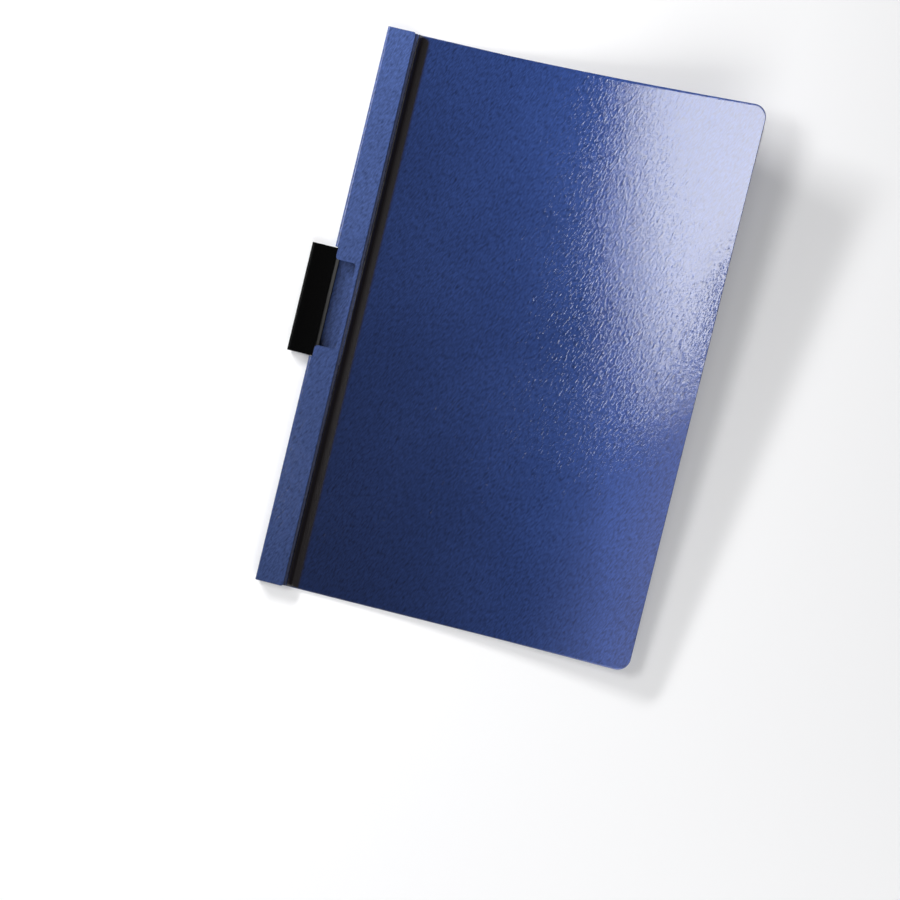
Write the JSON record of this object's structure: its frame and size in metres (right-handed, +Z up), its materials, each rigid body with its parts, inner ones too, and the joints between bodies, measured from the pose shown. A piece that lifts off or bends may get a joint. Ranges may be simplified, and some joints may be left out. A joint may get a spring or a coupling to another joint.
{
  "type": "clip folder",
  "caption": "Plastic folder for loose sheets, with a steel spring clip that slides in a slot of the spine and a creased front cover that swings open.",
  "frame": {"origin": "middle of the underside of the back panel", "axes": "+X from the spine to the fore-edge, +Y along the spine from foot to head, +Z up out of the front cover"},
  "size_m": [0.2281, 0.318, 0.0371],
  "materials": {
    "back_sheet": "embossed leather grain, semi-gloss",
    "front_sheet": "embossed leather grain, semi-gloss",
    "clip_steel": "black stove enamel, satin"
  },
  "bodies": {
    "folder": {"back_cover": "back_sheet", "front_cover_margin": "front_sheet"},
    "cover": {"front_cover": "front_sheet"},
    "clip": {"spring_clip": "clip_steel"}
  },
  "joints": [
    {"name": "clip_slide", "type": "slide", "parent": "folder", "child": "clip", "axis": [1, 0, 0], "range_m": [0, 0.0126]},
    {"name": "cover_hinge", "type": "hinge", "parent": "folder", "child": "cover", "pos_m": [-0.0895, 0, 0.00555], "axis": [0, -1, 0], "range_deg": [0, 170]}
  ]
}
